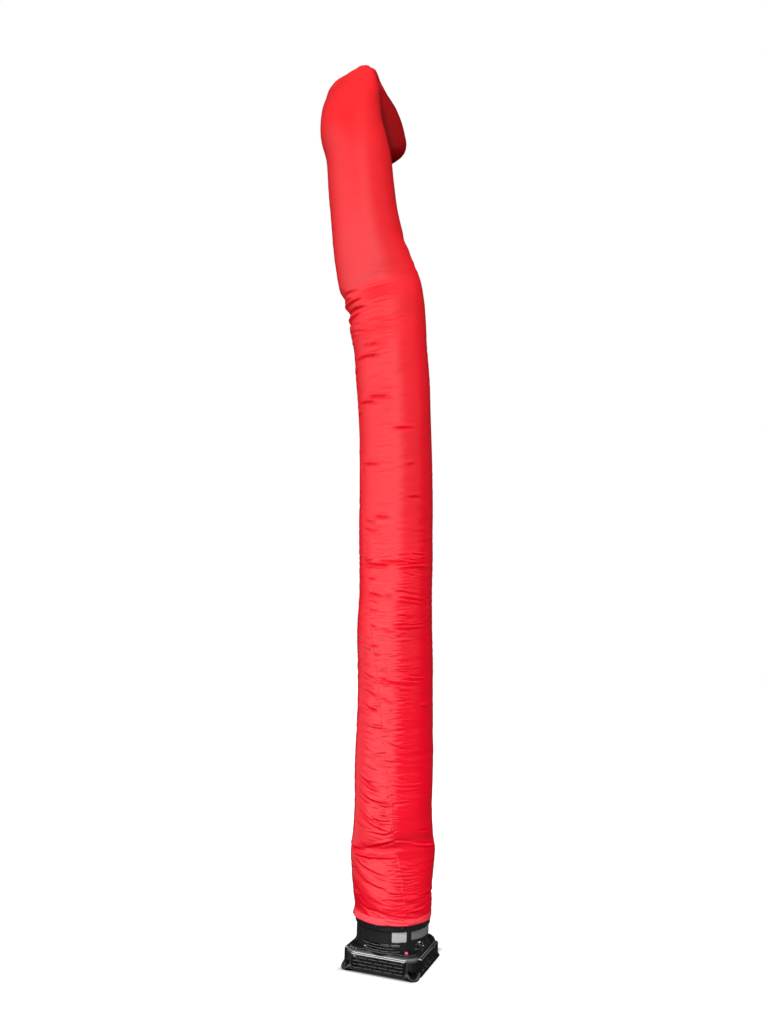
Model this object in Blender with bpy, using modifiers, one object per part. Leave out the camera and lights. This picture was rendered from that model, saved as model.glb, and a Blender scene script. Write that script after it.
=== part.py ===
"""Inflatable air dancer with its floor blower, for Blender 4.5, in metres with +Z up.

A one-piece nylon tube rises from the collar of a black moulded blower, leans to one side
above a soft kink and folds over at its top, so that its closed end hangs down behind.
"""

import math

import bmesh
import bpy
import numpy as np
from mathutils import Matrix, Vector

# The floor point under the blower's axis. The tube leans away from it, and the origin
# is on the floor under the middle of the whole.
AXIS_X = 0.1714
AXIS_Y = 0.0135
GAP = 0.0003  # between pieces that touch
BELOW = 0.040  # how far cutters pass what they cut

# Blower base: a square housing with drafted sides and a flared skirt, standing on four
# corner feet, each with a round cup that looks outwards and up.
BASE_SIDE = 0.372
BASE_TOP_SIDE = 0.342
BASE_RIM = 0.010  # height of the lower rim above the floor
DECK_HEIGHT = 0.098
BASE_CORNER = 0.058
DECK_EDGE = 0.020
BASE_WALL = 0.005
SKIRT_SIDE = 0.380
SKIRT_TOP = 0.024
FOOT_RADIUS = 0.036
FOOT_TOP_RADIUS = 0.030
FOOT_HEIGHT = 0.026
FOOT_REACH = 0.207  # from the axis to a foot's middle
CUP_RADIUS = 0.034
CUP_HOLLOW_RADIUS = 0.028
CUP_DEPTH = 0.009
CUP_LENGTH = 0.030
CUP_REACH = 0.225  # from the axis to the middle of a cup's mouth
CUP_HEIGHT = 0.027
CUP_TILT = 45.0
CORNER_STEPS = 20  # sides of each round foot and cup

# Intake grille: an upright panel on each side that stands proud of the drafted housing,
# with rows of slots laid like bricks.
PANEL_WIDTH = 0.256
PANEL_REACH = 0.188
PANEL_TOP = 0.079
PANEL_EDGE = 0.006
PANEL_DEPTH = 0.040
SLOT_CUT = 0.020  # depth of the block that cuts a slot
GRILLE_ROWS = 4
GRILLE_SLOTS = 5
SLOT_LENGTH = 0.042
SLOT_HEIGHT = 0.0068
SLOT_PITCH = 0.0485
GRILLE_ROW_PITCH = 0.0140
GRILLE_LOW = 0.0265

# Drum: the round fan duct, set in a socket in the deck, with four upright ribs and
# vents near its foot.
DRUM_RADIUS = 0.1675
DRUM_WALL = 0.005
DRUM_TOP = 0.292
SOCKET_RADIUS = 0.1735
SOCKET_LOW = 0.072
LEDGE_HEIGHT = 0.077
ROUND_STEPS = 48
RIB_WIDTH = 0.009
RIB_DEPTH = 0.005
VENT_ROWS = 3
VENT_SLOTS = 4
VENT_PITCH = 16.3  # degrees
VENT_LENGTH = 0.040
VENT_HEIGHT = 0.0062
VENT_LOW = 0.1045
VENT_ROW_PITCH = 0.0113

# Collar: the ring at the drum's top that the tube is fastened round.
COLLAR_RADIUS = 0.1750
COLLAR_LOW = 0.187
COLLAR_TOP = 0.300
LUG_COUNT = 9
LUG_FIRST = 34.0  # degrees round from the front
LUG_SIZE = (0.009, 0.004, 0.013)
LUG_HEIGHT = 0.197

# Blank plates on the drum: degrees round from the front, then heights.
SILVER_PLATE = (18.8, 42.0, 0.139, 0.182)
GREY_PLATE = (50.0, 105.0, 0.145, 0.182)
PLATE_THICKNESS = 0.0012
PLATE_STEP = 4.0  # degrees between a plate's upright edges
LAMP_RADIUS = 0.0085
LAMP_HEIGHT = 0.009
LAMP_TURN = 39.5
LAMP_REACH = 0.189
LAMP_STEPS = 5  # from its top to its rim

# Tube. It leans in an upright plane turned this far from the XZ plane.
LEAN_YAW = math.radians(20.8)
CLOTH = 0.002
GIRTH = 1.140  # round the inflated tube
AROUND = 28  # corners of each ring

# Sections up the tube, measured in the lean plane from the blower's axis: height,
# middle across (+ to the right), half width across, how far the wide way has turned
# backwards in degrees, and the mesh rows up to the next section. The half depth
# follows from the girth.
RISE = (
    # height, across, half_width, turn, rows
    (0.2125, -0.004, 0.1835, 0, 1),
    (0.240, -0.001, 0.1805, 0, 2),
    (0.300, -0.004, 0.1835, 0, 1),
    (0.335, -0.007, 0.1860, 0, 3),
    (0.420, -0.008, 0.1950, 0, 3),
    (0.500, -0.008, 0.2010, 0, 4),
    (0.600, -0.012, 0.1905, 0, 2),
    (0.700, -0.014, 0.1865, 0, 1),
    (0.860, -0.016, 0.1895, 0, 2),
    (1.040, -0.017, 0.1875, 0, 2),
    (1.260, -0.020, 0.1850, 0, 3),
    (1.560, -0.032, 0.1860, 0, 1),
    (1.680, -0.031, 0.1825, 0, 3),
    (2.000, -0.040, 0.1870, 0, 3),
    (2.350, -0.050, 0.1870, 0, 2),
    (2.620, -0.064, 0.1870, 0, 2),
    (2.800, -0.079, 0.1925, 0, 2),
    (3.000, -0.099, 0.1925, 0, 2),
    (3.120, -0.116, 0.2020, 0, 3),
    (3.210, -0.126, 0.2040, 0, 3),
    (3.310, -0.155, 0.2170, 0, 3),
    (3.420, -0.190, 0.2080, 0, 3),
    (3.560, -0.227, 0.1950, 0, 2),
    (3.740, -0.262, 0.1830, 3, 2),
    (3.920, -0.287, 0.1800, 10, 2),
    (4.080, -0.306, 0.1770, 18, 2),
)

# The folded top, measured from the crease that the tube hangs over: up the tube, out
# to the hanging side, along the crease, degrees turned over, half width, half depth
# and mesh rows. The first rows are the standing side and the last ones the hanging end.
FOLD_OVER = (
    # up, out, along, turned, half_width, half_depth, rows
    (-0.310, -0.162, 0.000, 0, 0.179, 0.156, 2),
    (-0.200, -0.141, 0.000, 0, 0.177, 0.136, 2),
    (-0.110, -0.113, 0.000, 4, 0.174, 0.108, 2),
    (-0.030, -0.081, -0.002, 14, 0.164, 0.076, 2),
    (0.042, -0.046, -0.006, 48, 0.149, 0.058, 2),
    (0.066, 0.000, -0.008, 90, 0.148, 0.060, 2),
    (0.042, 0.045, -0.010, 132, 0.146, 0.060, 2),
    (-0.030, 0.080, -0.002, 164, 0.156, 0.078, 2),
    (-0.110, 0.104, 0.012, 174, 0.170, 0.100, 2),
    (-0.200, 0.120, 0.021, 180, 0.178, 0.112, 2),
    (-0.280, 0.124, 0.028, 182, 0.179, 0.108, 2),
    (-0.350, 0.120, 0.036, 184, 0.174, 0.086, 2),
    (-0.405, 0.112, 0.044, 184, 0.148, 0.050, 1),
    (-0.429, 0.110, 0.050, 184, 0.122, 0.014, 1),
)
CREASE_AT = (-0.340, 0.150, 4.594)  # across, back and height of that crease's middle
TOP_LEAN = math.radians(9.5)
CREASE_RISE = math.radians(15.0)  # the crease's right end is the higher one
CREASE_TURN = math.radians(25.0)  # and comes forward

# Main hollows pressed into the standing tube: height, degrees round (0 right, 90 front,
# 180 left, 270 back), half the angle it spans, rise in metres per radian of angle, half
# height and depth.
HOLLOWS = (
    # height, round, half_span, rise, half_height, depth
    (0.520, 95, 105, -0.020, 0.028, 0.010),
    (0.545, 40, 75, 0.010, 0.040, 0.009),
    (0.500, 265, 80, 0.015, 0.035, 0.009),
    (3.225, 180, 70, 0.030, 0.045, 0.010),
    (3.150, 175, 55, -0.020, 0.030, 0.008),
    (3.560, 20, 60, 0.010, 0.060, 0.006),
)


def clear_scene():
    for obj in list(bpy.data.objects):
        bpy.data.objects.remove(obj, do_unlink=True)


def new_collection(name, hidden=False):
    collection = bpy.data.collections.new(name)
    bpy.context.scene.collection.children.link(collection)
    collection.hide_render = hidden
    return collection


def make_material(name, colour, roughness, metallic=0.0):
    material = bpy.data.materials.new(name)
    material.use_nodes = True
    shader = material.node_tree.nodes["Principled BSDF"]
    shader.inputs["Base Color"].default_value = (*colour, 1.0)
    shader.inputs["Roughness"].default_value = roughness
    shader.inputs["Metallic"].default_value = metallic
    return material


def add_object(name, mesh, collection, material=None):
    obj = bpy.data.objects.new(name, mesh)
    collection.objects.link(obj)
    if material:
        mesh.materials.append(material)
    return obj


def add_cutter(name, bm, collection):
    obj = add_object(name, mesh_from(bm, name), collection)
    obj.display_type = "WIRE"
    obj.hide_render = True
    return obj


def mesh_from(bm, name):
    bmesh.ops.recalc_face_normals(bm, faces=bm.faces)
    mesh = bpy.data.meshes.new(name)
    bm.to_mesh(mesh)
    bm.free()
    return mesh


def boolean(obj, other, operation):
    modifier = obj.modifiers.new(other.name, "BOOLEAN")
    modifier.operation = operation
    modifier.object = other


def round_shading(obj):
    obj.data.shade_smooth()
    obj.data.set_sharp_from_angle(angle=math.radians(35))


def turned(degrees):
    """A turn about the blower's axis that takes the front, -Y, round towards +X."""
    return Matrix.Rotation(math.radians(degrees), 4, "Z")


def add_box(bm, size, matrix):
    bmesh.ops.create_cube(bm, size=1.0, matrix=matrix @ Matrix.Diagonal((*size, 1.0)))


def tapered_block(low_side, top_side, low, top, corner, edge=0.0):
    """A square block with round upright corners, and a round top edge if edge is given."""
    bm = bmesh.new()
    bmesh.ops.create_cube(bm, size=1.0)
    for vert in bm.verts:
        at_top = vert.co.z > 0
        side = top_side if at_top else low_side
        vert.co = Vector((vert.co.x * side, vert.co.y * side, top if at_top else low))
    upright = [e for e in bm.edges if abs(e.verts[0].co.z - e.verts[1].co.z) > 0.5 * (top - low)]
    bmesh.ops.bevel(
        bm, geom=upright, offset=corner, segments=5, profile=0.5, affect="EDGES"
    )
    if edge:
        around = [e for e in bm.edges if min(v.co.z for v in e.verts) > top - 1e-5]
        bmesh.ops.bevel(
            bm, geom=around, offset=edge, segments=3, profile=0.5, affect="EDGES"
        )
    return bm


def slots_of_row(row):
    """(middle across, length) of each slot in a grille row, laid like bricks."""
    if row % 2 == 0:
        middle = (GRILLE_SLOTS - 1) / 2
        return [((slot - middle) * SLOT_PITCH, SLOT_LENGTH) for slot in range(GRILLE_SLOTS)]
    middle = GRILLE_SLOTS / 2 - 1
    whole = [((slot - middle) * SLOT_PITCH, SLOT_LENGTH) for slot in range(GRILLE_SLOTS - 1)]
    half = (SLOT_LENGTH - (SLOT_PITCH - SLOT_LENGTH)) / 2
    outermost = ((GRILLE_SLOTS - 1) * SLOT_PITCH + SLOT_LENGTH - half) / 2
    return [(-outermost, half), *whole, (outermost, half)]


def grille_cutter(cutters):
    bm = bmesh.new()
    for side in range(4):
        for row in range(GRILLE_ROWS):
            height = GRILLE_LOW + row * GRILLE_ROW_PITCH
            for across, length in slots_of_row(row):
                place = Matrix.Translation((across, -PANEL_REACH, height))
                add_box(bm, (length, SLOT_CUT, SLOT_HEIGHT), turned(90 * side) @ place)
    return add_cutter("grille_cutter", bm, cutters)


def panels_block(name, inset, low, cutters):
    """An upright panel on each side, or with an inset the hollow behind each."""
    bm = bmesh.new()
    top = PANEL_TOP - inset
    size = (PANEL_WIDTH - 2 * inset, PANEL_DEPTH, top - low)
    middle = -PANEL_REACH + inset + PANEL_DEPTH / 2
    for side in range(4):
        add_box(bm, size, turned(90 * side) @ Matrix.Translation((0, middle, (low + top) / 2)))
    if not inset:
        outer = PANEL_REACH - 1e-4
        edges = [
            edge
            for edge in bm.edges
            if all(max(abs(v.co.x), abs(v.co.y)) > outer for v in edge.verts)
            and max(v.co.z for v in edge.verts) > low + 1e-4
        ]
        bmesh.ops.bevel(
            bm, geom=edges, offset=PANEL_EDGE, segments=2, profile=0.5, affect="EDGES"
        )
    return add_cutter(name, bm, cutters)


def upright_cylinder(name, radius, low, top, cutters):
    bm = bmesh.new()
    bmesh.ops.create_cone(
        bm,
        cap_ends=True,
        segments=ROUND_STEPS,
        radius1=radius,
        radius2=radius,
        depth=top - low,
        matrix=Matrix.Translation((0, 0, (low + top) / 2)),
    )
    return add_cutter(name, bm, cutters)


def corner_cones(name, radii, depth, place, cutters):
    """One cone in each corner of the base, placed as in the front middle of a side."""
    bm = bmesh.new()
    for corner in range(4):
        bmesh.ops.create_cone(
            bm,
            cap_ends=True,
            segments=CORNER_STEPS,
            radius1=radii[0],
            radius2=radii[1],
            depth=depth,
            matrix=turned(45 + 90 * corner) @ place,
        )
    return add_cutter(name, bm, cutters)


def feet_block(cutters):
    """The feet reach below the floor's level, where they are cut flat."""
    depth = FOOT_HEIGHT + BELOW
    place = Matrix.Translation((0, -FOOT_REACH, FOOT_HEIGHT - depth / 2))
    return corner_cones("feet_block", (FOOT_RADIUS, FOOT_TOP_RADIUS), depth, place, cutters)


def cup_place(depth):
    """Where a cone of this depth lies with its outer end in a cup's mouth."""
    mouth = Matrix.Translation((0, -CUP_REACH, CUP_HEIGHT))
    outwards = Matrix.Rotation(math.radians(90 - CUP_TILT), 4, "X")
    return mouth @ outwards @ Matrix.Translation((0, 0, -depth / 2))


def cup_block(cutters):
    radii = (CUP_RADIUS, CUP_RADIUS)
    return corner_cones("cup_block", radii, CUP_LENGTH, cup_place(CUP_LENGTH), cutters)


def cup_cutter(cutters):
    """Twice as long as a cup is deep, so that half of it stands out of the mouth."""
    radii = (CUP_HOLLOW_RADIUS * 0.85, CUP_HOLLOW_RADIUS * 1.02)
    depth = 2 * CUP_DEPTH
    return corner_cones("cup_cutter", radii, depth, cup_place(0), cutters)


def make_base(parts, cutters, material):
    bm = tapered_block(
        BASE_SIDE, BASE_TOP_SIDE, BASE_RIM, DECK_HEIGHT, BASE_CORNER, DECK_EDGE
    )
    base = add_object("blower_base", mesh_from(bm, "blower_base"), parts, material)

    bm = tapered_block(SKIRT_SIDE, BASE_SIDE, BASE_RIM, SKIRT_TOP, BASE_CORNER)
    skirt = add_cutter("skirt_block", bm, cutters)
    bm = tapered_block(
        BASE_SIDE - 2 * BASE_WALL,
        BASE_TOP_SIDE - 2 * BASE_WALL,
        BASE_RIM - BELOW,
        DECK_HEIGHT - BASE_WALL,
        BASE_CORNER - BASE_WALL,
    )
    hollow = add_cutter("base_hollow", bm, cutters)
    bm = bmesh.new()
    add_box(bm, (1, 1, 2 * BELOW), Matrix.Translation((0, 0, -BELOW)))
    under_floor = add_cutter("under_floor", bm, cutters)
    over = DECK_HEIGHT + BELOW
    socket = upright_cylinder(
        "socket_block", SOCKET_RADIUS, SOCKET_LOW, DECK_HEIGHT - BASE_WALL / 2, cutters
    )
    seat = upright_cylinder("drum_seat", DRUM_RADIUS + GAP, LEDGE_HEIGHT, over, cutters)
    duct = upright_cylinder("deck_duct", DRUM_RADIUS - DRUM_WALL, SOCKET_LOW - BELOW, over, cutters)

    boolean(base, skirt, "UNION")
    boolean(base, panels_block("panels_block", 0.0, BASE_RIM, cutters), "UNION")
    boolean(base, hollow, "DIFFERENCE")
    behind = panels_block("behind_panels", BASE_WALL, BASE_RIM - BELOW, cutters)
    boolean(base, behind, "DIFFERENCE")
    boolean(base, socket, "UNION")
    boolean(base, seat, "DIFFERENCE")
    boolean(base, duct, "DIFFERENCE")
    boolean(base, grille_cutter(cutters), "DIFFERENCE")
    boolean(base, feet_block(cutters), "UNION")
    boolean(base, cup_block(cutters), "UNION")
    boolean(base, cup_cutter(cutters), "DIFFERENCE")
    boolean(base, under_floor, "DIFFERENCE")
    return base


def turned_ring(name, outline, collection, material):
    """A ring turned from a closed outline of (radius, height), outer side first, top to bottom."""
    bm = bmesh.new()
    verts = [bm.verts.new((radius, 0, height)) for radius, height in outline]
    for first, second in zip(verts, verts[1:] + verts[:1]):
        bm.edges.new((first, second))
    mesh = bpy.data.meshes.new(name)
    bm.to_mesh(mesh)
    bm.free()
    ring = add_object(name, mesh, collection, material)
    screw = ring.modifiers.new("turn", "SCREW")
    screw.steps = ROUND_STEPS
    screw.render_steps = ROUND_STEPS
    return ring


def rib_block(cutters):
    bm = bmesh.new()
    low, top = DECK_HEIGHT + GAP, COLLAR_LOW - GAP
    for corner in range(4):
        place = Matrix.Translation((0, -DRUM_RADIUS, (low + top) / 2))
        size = (RIB_WIDTH, 2 * RIB_DEPTH, top - low)
        add_box(bm, size, turned(45 + 90 * corner) @ place)
    return add_cutter("rib_block", bm, cutters)


def vent_cutter(cutters):
    bm = bmesh.new()
    size = (VENT_LENGTH, SLOT_CUT, VENT_HEIGHT)
    for side in range(4):
        for row in range(VENT_ROWS):
            count = VENT_SLOTS - row % 2
            height = VENT_LOW + row * VENT_ROW_PITCH
            place = Matrix.Translation((0, -DRUM_RADIUS, height))
            for slot in range(count):
                angle = 90 * side + (slot - (count - 1) / 2) * VENT_PITCH
                add_box(bm, size, turned(angle) @ place)
    return add_cutter("vent_cutter", bm, cutters)


def make_drum(parts, cutters, material):
    inner = DRUM_RADIUS - DRUM_WALL
    outline = (
        (DRUM_RADIUS, DRUM_TOP),
        (DRUM_RADIUS, LEDGE_HEIGHT + GAP),
        (inner, LEDGE_HEIGHT + GAP),
        (inner, DRUM_TOP),
    )
    drum = turned_ring("blower_drum", outline, parts, material)
    boolean(drum, vent_cutter(cutters), "DIFFERENCE")
    boolean(drum, rib_block(cutters), "UNION")
    return drum


def lug_block(cutters):
    bm = bmesh.new()
    place = Matrix.Translation((0, -COLLAR_RADIUS, LUG_HEIGHT))
    for lug in range(LUG_COUNT):
        angle = LUG_FIRST + lug * 360 / LUG_COUNT
        add_box(bm, LUG_SIZE, turned(angle) @ place)
    return add_cutter("lug_block", bm, cutters)


def make_collar(parts, cutters, material):
    inner = DRUM_RADIUS + GAP
    lip = DRUM_RADIUS - DRUM_WALL
    outline = (
        (COLLAR_RADIUS, COLLAR_TOP),
        (COLLAR_RADIUS, COLLAR_LOW),
        (inner, COLLAR_LOW),
        (inner, DRUM_TOP + GAP),
        (lip, DRUM_TOP + GAP),
        (lip, COLLAR_TOP),
    )
    collar = turned_ring("tube_collar", outline, parts, material)
    boolean(collar, lug_block(cutters), "UNION")
    return collar


def make_plate(name, plate, parts, material):
    """A thin blank plate bent round the drum, seated on it."""
    first, last, low, top = plate
    columns = round((last - first) / PLATE_STEP)
    radius = DRUM_RADIUS + GAP
    bm = bmesh.new()
    pairs = []
    for column in range(columns + 1):
        angle = math.radians(first + (last - first) * column / columns)
        x, y = radius * math.sin(angle), -radius * math.cos(angle)
        pairs.append((bm.verts.new((x, y, low)), bm.verts.new((x, y, top))))
    for (low_a, top_a), (low_b, top_b) in zip(pairs, pairs[1:]):
        bm.faces.new((low_a, low_b, top_b, top_a))
    mesh = bpy.data.meshes.new(name)
    bm.to_mesh(mesh)
    bm.free()
    obj = add_object(name, mesh, parts, material)
    thicken = obj.modifiers.new("thickness", "SOLIDIFY")
    thicken.thickness = PLATE_THICKNESS
    thicken.offset = 1.0
    return obj


def make_lamp(parts, material):
    """The pilot lamp's dome, on the deck at a rib's foot."""
    base = DECK_HEIGHT + GAP
    bm = bmesh.new()
    verts = [bm.verts.new((0, 0, base + LAMP_HEIGHT))]
    for step in range(1, LAMP_STEPS + 1):
        angle = math.radians(90 * step / LAMP_STEPS)
        radius = LAMP_RADIUS * math.sin(angle)
        verts.append(bm.verts.new((radius, 0, base + LAMP_HEIGHT * math.cos(angle))))
    verts.append(bm.verts.new((0, 0, base)))
    for first, second in zip(verts, verts[1:]):
        bm.edges.new((first, second))
    mesh = bpy.data.meshes.new("pilot_lamp")
    bm.to_mesh(mesh)
    bm.free()
    lamp = add_object("pilot_lamp", mesh, parts, material)
    screw = lamp.modifiers.new("turn", "SCREW")
    screw.steps = 4 * LAMP_STEPS
    screw.render_steps = 4 * LAMP_STEPS
    screw.use_merge_vertices = True
    screw.merge_threshold = 0.00005
    lamp.location = turned(LAMP_TURN) @ Vector((0, -LAMP_REACH, 0))
    return lamp


def half_depth(half_width):
    """An ellipse of this half width keeps the tube's girth with this half depth."""
    mean = GIRTH / (2 * math.pi)
    return math.sqrt(2 * mean**2 - half_width**2)


def rising_sections():
    """Each section as centre, half-width vector and half-depth vector, with its rows."""
    sections, rows = [], []
    for index, (height, across, half_width, turn, steps) in enumerate(RISE):
        before = RISE[max(index - 1, 0)]
        after = RISE[min(index + 1, len(RISE) - 1)]
        lean = math.atan2(before[1] - after[1], after[0] - before[0]) if index > 1 else 0
        swing = math.radians(turn)
        right = Vector((math.cos(lean), 0, math.sin(lean)))
        back = Vector((0, 1, 0))
        wide = math.cos(swing) * right - math.sin(swing) * back
        deep = -(math.sin(swing) * right + math.cos(swing) * back)
        depth = half_width if index < 2 else half_depth(half_width)
        sections.append((*Vector((across, 0, height)), *(half_width * wide), *(depth * deep)))
        rows.append(steps)
    return sections, rows


def folded_sections():
    up = Vector((-math.sin(TOP_LEAN), 0, math.cos(TOP_LEAN)))
    right = Vector((math.cos(TOP_LEAN), 0, math.sin(TOP_LEAN)))
    rising = Vector((math.cos(CREASE_RISE), 0, math.sin(CREASE_RISE)))
    back = Vector((0, 1, 0))
    crease = math.cos(CREASE_TURN) * rising - math.sin(CREASE_TURN) * back
    out = math.sin(CREASE_TURN) * right + math.cos(CREASE_TURN) * back
    sections, rows = [], []
    for rise, reach, along, turn, half_width, depth, steps in FOLD_OVER:
        turn = math.radians(turn)
        centre = Vector(CREASE_AT) + rise * up + reach * out + along * crease
        inward = math.cos(turn) * out - math.sin(turn) * up
        sections.append((*centre, *(half_width * crease), *(-depth * inward)))
        rows.append(steps)
    return sections, rows


def blend_sections(sections, rows):
    """Rows of sections on a smooth curve through the given ones."""
    values = np.array(sections)
    steps = np.linalg.norm(np.diff(values[:, :3], axis=0), axis=1)
    knots = np.concatenate(([0.0], np.cumsum(steps)))
    slopes = np.gradient(values, knots, axis=0)
    blended = []
    for index, count in enumerate(rows[:-1]):
        span = knots[index + 1] - knots[index]
        for row in range(count):
            t = row / count
            blended.append(
                (2 * t**3 - 3 * t**2 + 1) * values[index]
                + (t**3 - 2 * t**2 + t) * span * slopes[index]
                + (3 * t**2 - 2 * t**3) * values[index + 1]
                + (t**3 - t**2) * span * slopes[index + 1]
            )
    blended.append(values[-1])
    return blended


def bell(x):
    """1 at 0, falling smoothly to 0 at 1 and beyond."""
    return max(0.0, 1.0 - x * x) ** 2


def hollow_depth(height, angle):
    """How far the main hollows press in at this height and angle."""
    pressed = 0.0
    for middle, turn, half_span, rise, half_height, depth in HOLLOWS:
        off = (math.degrees(angle) - turn + 180) % 360 - 180
        above = height - middle - rise * math.radians(off)
        pressed += depth * bell(off / half_span) * bell(above / half_height)
    return pressed


def make_tube(parts, material):
    rising, rising_rows = rising_sections()
    folded, folded_rows = folded_sections()
    sections = blend_sections(rising + folded, rising_rows + folded_rows)
    bm = bmesh.new()
    rings = []
    for section in sections:
        centre, wide, deep = (Vector(section[i : i + 3]) for i in (0, 3, 6))
        ring = []
        for corner in range(AROUND):
            angle = 2 * math.pi * corner / AROUND
            spoke = math.cos(angle) * wide + math.sin(angle) * deep
            if centre.z < RISE[-1][0]:
                spoke -= hollow_depth(centre.z, angle) * spoke.normalized()
            ring.append(bm.verts.new(centre + spoke))
        rings.append(ring)
    for low, high in zip(rings, rings[1:]):
        for corner in range(AROUND):
            after = (corner + 1) % AROUND
            bm.faces.new((low[after], low[corner], high[corner], high[after]))
    tip = bm.verts.new(sum((vert.co for vert in rings[-1]), Vector()) / AROUND)
    for corner in range(AROUND):
        after = (corner + 1) % AROUND
        bm.faces.new((rings[-1][after], rings[-1][corner], tip))
    mesh = bpy.data.meshes.new("air_dancer_tube")
    bm.to_mesh(mesh)
    bm.free()
    tube = add_object("air_dancer_tube", mesh, parts, material)
    thicken = tube.modifiers.new("cloth", "SOLIDIFY")
    thicken.thickness = CLOTH
    thicken.offset = -1.0
    tube.rotation_euler.z = LEAN_YAW
    return tube


def main():
    clear_scene()
    parts = new_collection("inflatable_air_dancer")
    cutters = new_collection("cutters", hidden=True)
    nylon = make_material("red_nylon", (0.78, 0.01, 0.02), 0.45)
    plastic = make_material("black_plastic", (0.012, 0.012, 0.013), 0.42)
    collar_plastic = make_material("collar_plastic", (0.015, 0.015, 0.016), 0.5)
    silver = make_material("silver_plate", (0.62, 0.62, 0.64), 0.35, 0.8)
    grey = make_material("grey_plate", (0.28, 0.28, 0.30), 0.45, 0.3)
    red_lens = make_material("red_lens", (0.7, 0.01, 0.03), 0.15)

    pieces = [
        make_base(parts, cutters, plastic),
        make_drum(parts, cutters, plastic),
        make_collar(parts, cutters, collar_plastic),
        make_plate("silver_plate", SILVER_PLATE, parts, silver),
        make_plate("grey_plate", GREY_PLATE, parts, grey),
        make_lamp(parts, red_lens),
        make_tube(parts, nylon),
    ]
    axis = bpy.data.objects.new("blower_axis", None)
    parts.objects.link(axis)
    axis.location = (AXIS_X, AXIS_Y, 0)
    for piece in pieces:
        round_shading(piece)
        piece.parent = axis
    for cutter in cutters.objects:
        cutter.parent = axis


main()
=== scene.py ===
"""Looks of the inflatable air dancer: its nylon tube, the blower's plastics and a pale
studio. Everything is in metres and in the frame's axes, or in the lean frame where said."""

import math

import bmesh
import bpy
import numpy as np
from mathutils import Matrix, Vector, noise


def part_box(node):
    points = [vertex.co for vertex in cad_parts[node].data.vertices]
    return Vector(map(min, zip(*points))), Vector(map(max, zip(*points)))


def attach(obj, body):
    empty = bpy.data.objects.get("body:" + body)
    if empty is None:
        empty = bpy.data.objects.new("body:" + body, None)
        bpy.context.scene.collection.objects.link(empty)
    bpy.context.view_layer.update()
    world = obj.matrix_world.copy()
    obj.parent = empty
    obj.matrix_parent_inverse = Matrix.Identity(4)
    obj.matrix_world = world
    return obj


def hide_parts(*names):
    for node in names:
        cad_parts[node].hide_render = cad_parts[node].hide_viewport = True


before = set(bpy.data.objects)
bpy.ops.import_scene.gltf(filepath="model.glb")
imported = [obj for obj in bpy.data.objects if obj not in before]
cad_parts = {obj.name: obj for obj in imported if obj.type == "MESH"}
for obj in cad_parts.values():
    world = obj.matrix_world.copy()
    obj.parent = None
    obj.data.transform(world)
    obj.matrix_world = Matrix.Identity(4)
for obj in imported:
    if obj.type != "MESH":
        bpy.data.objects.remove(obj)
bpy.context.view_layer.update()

# The lean frame stands on the blower's axis. The tube leans in its upright XZ plane, which is
# turned this far from the frame's own, and the camera looks square at that plane. "Across"
# is to the right in it and "back" is away from the camera.
LEAN_YAW = math.radians(20.8)
drum_low, drum_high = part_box("blower_drum")
AXIS = Vector(((drum_low.x + drum_high.x) / 2, (drum_low.y + drum_high.y) / 2, 0.0))
LEAN_FRAME = Matrix.Translation(AXIS) @ Matrix.Rotation(LEAN_YAW, 4, "Z")

# Camera, in the lean frame.
CAMERA_AT = (-0.104, -4.020, 1.448)
CAMERA_PITCH = 0.166  # radians, looking up
CAMERA_ROLL = 0.033
CAMERA_SENSOR = 36.0  # mm, along the picture's long side
CAMERA_LENS = 28.125

# Lights, in the lean frame. Suns: the way that they come from, power, and width in degrees.
# Panels face up from just above the floor: their place, side and power.
KEY_FROM = (-0.45, -0.85, 1.30)
SUNS = (
    ("key", KEY_FROM, 2.2, 4),
    ("fill", (0.62, -0.75, 0.50), 2.2, 80),
    ("behind", (-0.30, 0.90, 0.40), 3.0, 170),
)
PANELS = (
    ("bounce", (1.1, -1.5, 0.02), 3.0, 12),
    ("lift", (-1.3, -0.9, 0.02), 1.6, 4),
)

# Floor and sky as the camera sees them: how bright each is, and the floor's own grey.
FLOOR_SEEN = 0.80
FLOOR_GREY = 0.30
SKY_SEEN = 1.0
# The same as the surfaces see them, in their gloss above all, and what is dark there.
FLOOR_BESIDE, FLOOR_AHEAD = 0.32, 1.10
SKY_LOW, SKY_HIGH, SKY_BEHIND = 0.88, 0.14, 0.03
DARK = 0.01
FLOOR_SIZE = 40
# The blower's shadow painted on the floor: where it begins to fade and where it ends, out
# from the axis, how much further it reaches behind, and how much less to the right.
SHADE_FADES, SHADE_ENDS = 0.165, 0.215
SHADE_BEHIND = 0.07
SHADE_SHORT = 0.03

# Blower: the height of the lips over its grilles, the colours of its pieces, and the painted
# highlights on its edges, pale where the edges face up and palest where the key light falls.
LIP_LOW, LIP_HIGH = 0.068, 0.083
BASE_BLACK = (0.006, 0.006, 0.0065)
# The drum's and the collar's black is lighter than the housing's: a painted sheen.
DRUM_BLACK_AND_SHEEN = (0.015, 0.015, 0.016)
SILVER = (0.44, 0.44, 0.45)
GREY = (0.15, 0.15, 0.16)
LAMP_RED = (0.70, 0.12, 0.18)
EDGE_RADIUS = 0.0060  # over which an edge counts as rounded
EDGE_BENT = (0.08, 0.36)  # how far its normal bends where its colour begins and is whole
EDGE_UP = (0.15, 0.75)  # and how far up it faces there
HIGHLIGHT_COLOUR = (0.90, 0.90, 0.88)
EDGE_HIGHLIGHT = 0.14  # how much of that colour an edge takes
UNLIT_EDGE = 0.22  # the share of it that is left where the key light doesn't fall
LIP_HIGHLIGHT = 0.26  # how much of it the lit face of a lip takes
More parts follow.
